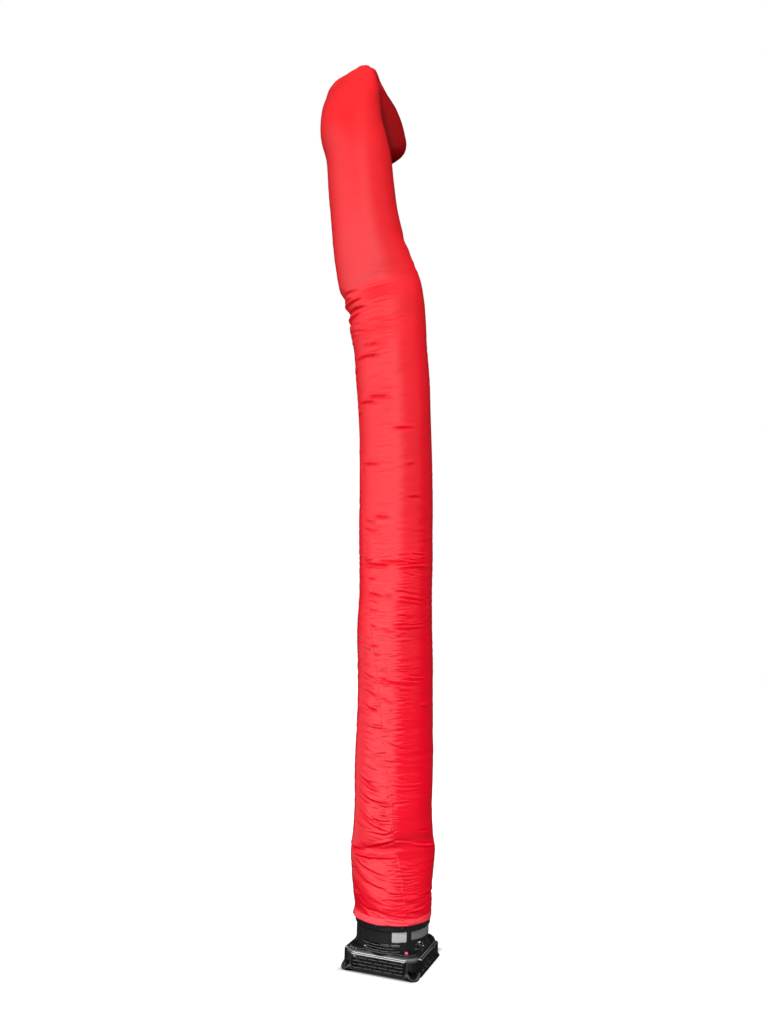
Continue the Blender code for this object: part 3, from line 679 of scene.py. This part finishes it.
def cloth_points(run, round_to):
    """The finished cloth in the lean frame, its outward spokes, and the relief of its
    creases, for grids of metres run and of metres round to the right of the seam."""
    points, outward = form(run, round_to)
    beside = beside_seam(round_to)
    creased = crease_relief(run, beside)
    relief = (
        creased
        + pucker_relief(run, beside)
        + drawn_relief(run, beside)
        + seam_relief(run, beside)
        + hem_flute(run, beside)
    )
    # The cloth isn't pressed into the collar that it hangs round, with the hem between them.
    kept = COLLAR_RADIUS + CLOTH_CLEAR + HEM_INSIDE * (run < HEM_DEPTH + 0.002)
    above_collar = np.clip(run - COLLAR_RUN, 0, COLLAR_LETS_GO)
    gap = np.hypot(points[..., 0], points[..., 1]) - kept + above_collar
    relief = np.maximum(relief, -np.maximum(gap, 0))
    plainer = np.clip((TUBE_RUN - run) / PLAIN_RUN, PLAIN_SHARE, 1)
    return points + (relief * plainer)[..., None] * outward, outward, creased


def stepped(stretches):
    """Values from 0 through each stretch of (end, step), evenly in each."""
    values, start = [0.0], 0.0
    for end, spacing in stretches:
        count = max(1, round((end - start) / spacing))
        values.extend(start + (end - start) * (i + 1) / count for i in range(count))
        start = end
    return np.array(values)


def column_offsets():
    """Metres round to the right of the seam of each column, close together at the seam.
    The cloth laps over itself there, so the columns go once round and a lap further."""
    half = stepped((*COLUMN_STEPS, (GIRTH / 2, COLUMN_STEP)))
    there = np.concatenate((half, (GIRTH - half[:-1])[::-1]))
    lap = SEAM_WIDTH / 2
    last = [GIRTH, GIRTH + lap, GIRTH + lap + LAP_UNDER]
    return np.concatenate(([-lap], there[:-1], last))


def new_object(name, mesh):
    obj = bpy.data.objects.new(name, mesh)
    bpy.context.scene.collection.objects.link(obj)
    mesh.shade_smooth()
    return obj


def place_object(obj, matrix):
    """Puts a camera or a light in the scene, by its place in the lean frame."""
    bpy.context.scene.collection.objects.link(obj)
    obj.matrix_world = LEAN_FRAME @ matrix


def make_tube(material):
    """One flat panel's cloth, lapped over itself at the seam, with its hem turned in."""
    runs, offsets = stepped((*ROW_STEPS, (TUBE_RUN, ROW_STEP))), column_offsets()
    hem_run = np.linspace(HEM_START, HEM_DEPTH, HEM_ROWS)
    run, round_to = np.meshgrid(runs, offsets, indexing="ij")
    outer, outward, creased = cloth_points(run, round_to)
    run_in, round_in = np.meshgrid(hem_run, offsets, indexing="ij")
    inner, outward_in, _ = cloth_points(run_in, round_in)
    inner = inner - HEM_INSIDE * outward_in
    # The lap's first edge lies under its last.
    outer[:, :2] -= LAP_UNDER * outward[:, :2]
    outer[:, -1] -= CLOTH_STEP * outward[:, -1]
    points = np.concatenate((inner[::-1], outer))
    rows, columns = points.shape[:2]
    index = np.arange(rows * columns).reshape(rows, columns)
    faces = np.stack(
        (index[:-1, :-1], index[:-1, 1:], index[1:, 1:], index[1:, :-1]), axis=-1
    ).reshape(-1, 4)
    # The far end is sewn flat: each column there is joined to the one across from it.
    top = index[-1]
    half = columns // 2
    ends = [
        (int(top[i]), int(top[i + 1]), int(top[-2 - i]), int(top[-1 - i]))
        for i in range(half - 1)
    ]
    mesh = bpy.data.meshes.new("nylon_tube")
    mesh.from_pydata(points.reshape(-1, 3).tolist(), [], faces.tolist() + ends)
    mesh.transform(LEAN_FRAME)
    mesh.materials.append(material)
    # The map's first number is metres round from the seam, and its second is metres run.
    uv = mesh.uv_layers.new(name="cloth")
    all_runs = np.concatenate((-hem_run[::-1], runs))
    spot = np.stack(np.meshgrid(all_runs, offsets, indexing="ij"), axis=-1).reshape(-1, 2)
    loops = np.empty(len(mesh.loops), np.int32)
    mesh.loops.foreach_get("vertex_index", loops)
    uv.data.foreach_set("uv", spot[loops][:, ::-1].astype(np.float32).ravel())
    # How far each point lies in a crease, or under its upper lip, kept as an attribute by
    # which the material paints shade on the cloth's gloss there.
    under = np.gradient(creased, runs, axis=0) / SHADED_SLOPE
    shaded = np.clip(np.maximum(-creased / SHADED_DEPTH, under), 0, 1)
    shaded = np.concatenate((np.zeros(run_in.shape), shaded))
    shade = mesh.attributes.new("creased", "FLOAT", "POINT")
    shade.data.foreach_set("value", shaded.astype(np.float32).ravel())
    tube = new_object("nylon_tube", mesh)
    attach(tube, "root")
    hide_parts("air_dancer_tube")
    return tube


# Shader nodes. Each of these adds one and returns its output. What it is given may be
# another node's output, or a plain number, place or colour.


def feed(tree, socket, given):
    if isinstance(given, bpy.types.NodeSocket):
        tree.links.new(given, socket)
    else:
        socket.default_value = given


def maths(tree, operation, first, second=None):
    node = tree.nodes.new("ShaderNodeMath")
    node.operation = operation
    feed(tree, node.inputs[0], first)
    if second is not None:
        feed(tree, node.inputs[1], second)
    return node.outputs[0]


def vector_maths(tree, operation, first, second=None):
    node = tree.nodes.new("ShaderNodeVectorMath")
    node.operation = operation
    feed(tree, node.inputs[0], first)
    if second is not None:
        feed(tree, node.inputs["Scale" if operation == "SCALE" else 1], second)
    gives_number = operation in ("DISTANCE", "DOT_PRODUCT", "LENGTH")
    return node.outputs["Value" if gives_number else "Vector"]


def part_of(tree, vector, axis):
    node = tree.nodes.new("ShaderNodeSeparateXYZ")
    tree.links.new(vector, node.inputs[0])
    return node.outputs[axis]


def ranged(tree, value, low, high, first=0.0, last=1.0, smooth=False):
    """A number that runs from first to last as the value runs from low to high."""
    node = tree.nodes.new("ShaderNodeMapRange")
    if smooth:
        node.interpolation_type = "SMOOTHSTEP"
    names = ("Value", "From Min", "From Max", "To Min", "To Max")
    for name, given in zip(names, (value, low, high, first, last)):
        feed(tree, node.inputs[name], given)
    return node.outputs["Result"]


def side_mask(tree, vector, towards, low, high):
    """0 to 1 as a place or direction lies further towards one side of the lean frame."""
    side = LEAN_FRAME.to_3x3() @ Vector(towards).normalized()
    along = vector_maths(tree, "DOT_PRODUCT", vector, side)
    return ranged(tree, along, low, high, smooth=True)


def value_mix(tree, factor, first, second):
    """A number that runs from first to second as the factor runs from 0 to 1."""
    mix = tree.nodes.new("ShaderNodeMix")
    mix.data_type = "FLOAT"
    for index, given in ((0, factor), (2, first), (3, second)):
        feed(tree, mix.inputs[index], given)
    return mix.outputs[0]


def rgba(colour):
    """A plain colour with its alpha. Another node's output stays as it is."""
    return colour if isinstance(colour, bpy.types.NodeSocket) else (*colour, 1)


def colour_mix(tree, factor, first, second, blend="MIX"):
    """A colour that runs from first to second as the factor runs from 0 to 1."""
    mix = tree.nodes.new("ShaderNodeMix")
    mix.data_type = "RGBA"
    mix.blend_type = blend
    for index, given in ((0, factor), (6, rgba(first)), (7, rgba(second))):
        feed(tree, mix.inputs[index], given)
    return mix.outputs[2]


def colour_ramp(tree, value, stops, constant=False):
    """A colour looked up from (position, colour) stops, of which there are two or more."""
    node = tree.nodes.new("ShaderNodeValToRGB")
    if constant:
        node.color_ramp.interpolation = "CONSTANT"
    made = node.color_ramp.elements
    for index, (position, colour) in enumerate(stops):
        stop = made[index] if index < 2 else made.new(position)
        stop.position = position
        stop.color = rgba(colour)
    tree.links.new(value, node.inputs["Fac"])
    return node.outputs["Color"]


def noise_texture(tree, place, scale, detail=2.0):
    node = tree.nodes.new("ShaderNodeTexNoise")
    node.inputs["Scale"].default_value = scale
    node.inputs["Detail"].default_value = detail
    tree.links.new(place, node.inputs["Vector"])
    return node.outputs["Fac"]


def bumped(tree, height, strength, distance, normal=None):
    """A normal that follows a height, in place of the given normal or the surface's own."""
    node = tree.nodes.new("ShaderNodeBump")
    node.inputs["Strength"].default_value = strength
    node.inputs["Distance"].default_value = distance
    tree.links.new(height, node.inputs["Height"])
    if normal is not None:
        tree.links.new(normal, node.inputs["Normal"])
    return node.outputs["Normal"]


def is_seen(tree):
    """1 where the camera sees a surface itself, 0 where it shows in another."""
    return tree.nodes.new("ShaderNodeLightPath").outputs["Is Camera Ray"]


def new_material(name):
    material = bpy.data.materials.new(name)
    material.use_nodes = True
    tree = material.node_tree
    return material, tree, tree.nodes["Principled BSDF"].inputs


def nylon_material():
    """Thin coated nylon: a soft gloss, faint cloudiness and fine crumple, with painted shade
    on the flap's front and in the creases.
    """
    material, tree, surface = new_material("red_nylon")
    coords = tree.nodes.new("ShaderNodeTexCoord")
    place, run = coords.outputs["Object"], part_of(tree, coords.outputs["UV"], "Y")
    # Painted light: high up the red turns lighter and more orange.
    height = ranged(tree, part_of(tree, place, "Z"), RED_FROM, RED_TO)
    red = colour_ramp(tree, height, ((0.0, RED_LOW), (1.0, RED_HIGH)))
    cloud = noise_texture(tree, place, scale=3.0, detail=3.0)
    cloud = colour_ramp(tree, cloud, ((0.3, (0.92, 0.92, 0.92)), (0.7, (1, 1, 1))))
    # Painted shade: past the crest the front of the flap is darkened, in its colour and its
    # gloss, as if it lay in the shade between it and the tube.
    hanging = ranged(tree, run, CREST_RUN, CREST_RUN + FLAP_FADE, 1.0, FLAP_PAINTED_SHADE)
    normal = tree.nodes.new("ShaderNodeNewGeometry").outputs["Normal"]
    fore = side_mask(tree, normal, (0, -1, 0), -0.6, -0.1)
    painted_flap_shade = value_mix(tree, fore, 1.0, hanging)
    shaded = vector_maths(tree, "SCALE", cloud, painted_flap_shade)
    cloth = colour_mix(tree, 1.0, red, shaded, blend="MULTIPLY")
    doubled = ranged(tree, run, HEM_DEPTH + 0.001, HEM_DEPTH - 0.001)
    feed(tree, surface["Base Color"], colour_mix(tree, doubled, cloth, HEM_RED))
    # Painted shade: the creased attribute takes the gloss out of the creases.
    creased = tree.nodes.new("ShaderNodeAttribute")
    creased.attribute_name = "creased"
    painted_flap_gloss = maths(tree, "POWER", painted_flap_shade, 2.5)
    gloss = value_mix(tree, creased.outputs["Fac"], painted_flap_gloss, CREASE_GLOSS)
    feed(tree, surface["Specular IOR Level"], gloss)
    surface["Roughness"].default_value = 0.21
    crumple = noise_texture(tree, place, scale=60.0, detail=4.0)
    feed(tree, surface["Normal"], bumped(tree, crumple, strength=0.12, distance=0.002))
    return material


def painted_edge_highlights(tree, rounded, edge_highlights):
    """How much painted highlight the housing's edges take, 0 to 1: where they face up, and
    most where they face the key light. The second of edge_highlights is for the lips, the
    first for the rest."""
    surface = tree.nodes.new("ShaderNodeNewGeometry").outputs
    bent = vector_maths(tree, "DISTANCE", rounded, surface["True Normal"])
    edge = ranged(tree, bent, *EDGE_BENT)
    levels = ((0.0, edge_highlights[0]), (LIP_LOW, edge_highlights[1]), (LIP_HIGH, edge_highlights[0]))
    stops = [(height, (amount, amount, amount)) for height, amount in levels]
    height = part_of(tree, surface["Position"], "Z")
    level = colour_ramp(tree, height, stops, constant=True)
    upward = ranged(tree, part_of(tree, rounded, "Z"), *EDGE_UP, 0.0, level)
    turned = side_mask(tree, rounded, KEY_FROM[:2] + (0,), -0.05, 0.45)
    lit = maths(tree, "MULTIPLY", value_mix(tree, turned, UNLIT_EDGE, 1.0), edge)
    chamfer = maths(tree, "MULTIPLY", ranged(tree, level, 0.5, 1.0), turned)
    both = maths(tree, "MAXIMUM", maths(tree, "MULTIPLY", chamfer, LIP_HIGHLIGHT), lit)
    return maths(tree, "MULTIPLY", both, upward)


def plastic_material(name, colour, roughness, edge_highlights=(0.0, 0.0)):
    """Moulded plastic or a plate with a fine cast grain, cloudy, and with painted highlights
    on its edges.
    """
    material, tree, surface = new_material(name)
    place = tree.nodes.new("ShaderNodeTexCoord").outputs["Object"]
    bevel = tree.nodes.new("ShaderNodeBevel")
    bevel.samples = 10
    bevel.inputs["Radius"].default_value = EDGE_RADIUS
    rounded = bevel.outputs["Normal"]
    tone = noise_texture(tree, place, scale=9.0, detail=4.0)
    dark, light = [c * 0.85 for c in colour], [c * 1.2 for c in colour]
    body = colour_ramp(tree, tone, ((0.35, dark), (0.75, light)))
    # Painted highlights on the edges, mixed into the colour.
    pale = painted_edge_highlights(tree, rounded, edge_highlights)
    feed(tree, surface["Base Color"], colour_mix(tree, pale, body, HIGHLIGHT_COLOUR))
    grain = noise_texture(tree, place, scale=900.0)
    normal = bumped(tree, grain, strength=0.1, distance=0.0004, normal=rounded)
    feed(tree, surface["Normal"], normal)
    surface["Roughness"].default_value = roughness
    return material


def dress(node, material):
    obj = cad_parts[node]
    for slot in obj.material_slots:
        slot.material = material
    if not obj.material_slots:
        obj.data.materials.append(material)


def make_camera():
    data = bpy.data.cameras.new("camera")
    data.sensor_width = CAMERA_SENSOR
    data.lens = CAMERA_LENS
    camera = bpy.data.objects.new("camera", data)
    pitch = Matrix.Rotation(math.pi / 2 + CAMERA_PITCH, 4, "X")
    roll = Matrix.Rotation(CAMERA_ROLL, 4, "Z")
    place_object(camera, Matrix.Translation(CAMERA_AT) @ pitch @ roll)
    bpy.context.scene.camera = camera


def aimed(way):
    """A turn that points a light this way."""
    return Vector(way).to_track_quat("-Z", "Y").to_matrix().to_4x4()


def sun_light(name, towards, power, width):
    data = bpy.data.lights.new(name, "SUN")
    data.energy = power
    data.angle = math.radians(width)
    light = bpy.data.objects.new(name, data)
    light.visible_glossy = False
    place_object(light, aimed(-Vector(towards)))


def panel_light(name, place, side, power):
    """A square light that faces up from just above the floor, which the camera doesn't see."""
    data = bpy.data.lights.new(name, "AREA")
    data.shape = "RECTANGLE"
    data.size, data.size_y = side, side
    data.energy = power
    light = bpy.data.objects.new(name, data)
    light.visible_camera = False
    light.visible_glossy = False
    place_object(light, Matrix.Translation(place) @ aimed((0, 0, 1)))


def painted_blower_shadow(tree, spot):
    """Painted shadow of the blower on the floor: 0 under it, rising to 1 just outside it, and
    a little further behind.
    """
    spans = []
    for axis, further in (("X", -SHADE_SHORT), ("Y", SHADE_BEHIND)):
        across = maths(tree, "SUBTRACT", part_of(tree, spot, axis), further / 2)
        spans.append(maths(tree, "SUBTRACT", maths(tree, "ABSOLUTE", across), further / 2))
    out = maths(tree, "MAXIMUM", *spans)
    return ranged(tree, out, SHADE_FADES, SHADE_ENDS, smooth=True)


def make_floor():
    """A pale floor, as bright as the backdrop except in the shadow painted under the blower.
    In the cloth's gloss only the floor to the left and some way off is bright."""
    mesh = bpy.data.meshes.new("floor")
    bm = bmesh.new()
    bmesh.ops.create_grid(bm, x_segments=1, y_segments=1, size=FLOOR_SIZE)
    bm.to_mesh(mesh)
    bm.free()
    floor = new_object("floor", mesh)
    material, tree, surface = new_material("floor")
    place = tree.nodes.new("ShaderNodeTexCoord").outputs["Object"]
    spot = vector_maths(tree, "SUBTRACT", place, AXIS)
    bearing = vector_maths(tree, "NORMALIZE", spot)
    leftward = side_mask(tree, bearing, (-0.95, -0.31, 0), 0.10, 0.60)
    ahead = side_mask(tree, spot, (0, -1, 0), 0.0, 2.2)
    far = ranged(tree, vector_maths(tree, "LENGTH", spot), 0.9, 2.0, smooth=True)
    glow = value_mix(tree, ahead, FLOOR_BESIDE, FLOOR_AHEAD)
    glow = value_mix(tree, leftward, DARK, value_mix(tree, far, DARK, glow))
    seen = is_seen(tree)
    glow = value_mix(tree, seen, glow, FLOOR_SEEN)
    # The blower's painted shadow dims the floor's glow.
    glow = value_mix(tree, painted_blower_shadow(tree, spot), 0.0, glow)
    grey = colour_mix(tree, seen, (DARK, DARK, DARK), (FLOOR_GREY, FLOOR_GREY, FLOOR_GREY))
    feed(tree, surface["Base Color"], grey)
    feed(tree, surface["Emission Strength"], glow)
    surface["Emission Color"].default_value = (1, 1, 1, 1)
    surface["Roughness"].default_value = 1.0
    surface["Specular IOR Level"].default_value = 0.0
    mesh.materials.append(material)


def make_world():
    """A white backdrop. In the cloth's gloss the sky is bright to the left and low down,
    and dark to the right."""
    world = bpy.data.worlds.new("world")
    bpy.context.scene.world = world
    world.use_nodes = True
    tree = world.node_tree
    backdrop = tree.nodes["Background"].inputs
    way = tree.nodes.new("ShaderNodeTexCoord").outputs["Generated"]
    left = side_mask(tree, way, (-0.92, -0.39, 0.55), -0.02, 0.50)
    front = side_mask(tree, way, (0, -1, 0), -0.9, 0.9)
    high = side_mask(tree, way, (0, 0, 1), 0.15, 0.80)
    glow = value_mix(tree, front, SKY_BEHIND, value_mix(tree, high, SKY_LOW, SKY_HIGH))
    glow = value_mix(tree, left, DARK, glow)
    backdrop["Color"].default_value = (1, 1, 1, 1)
    feed(tree, backdrop["Strength"], value_mix(tree, is_seen(tree), glow, SKY_SEEN))


def make_studio():
    make_floor()
    make_world()
    for sun in SUNS:
        sun_light(*sun)
    for panel in PANELS:
        panel_light(*panel)
    bpy.context.scene.view_settings.view_transform = "Standard"


make_camera()
tube = make_tube(nylon_material())
base_plastic = plastic_material(
    "base_plastic", BASE_BLACK, roughness=0.27, edge_highlights=(EDGE_HIGHLIGHT, 1.0)
)
drum_plastic = plastic_material(
    "drum_plastic", DRUM_BLACK_AND_SHEEN, roughness=0.27, edge_highlights=(EDGE_HIGHLIGHT, EDGE_HIGHLIGHT)
)
dress("blower_base", base_plastic)
dress("blower_drum", drum_plastic)
dress("tube_collar", drum_plastic)
dress("silver_plate", plastic_material("bright_plate", SILVER, roughness=0.35))
dress("grey_plate", plastic_material("dull_plate", GREY, roughness=0.5))
dress("pilot_lamp", plastic_material("red_lens", LAMP_RED, roughness=0.2))
make_studio()
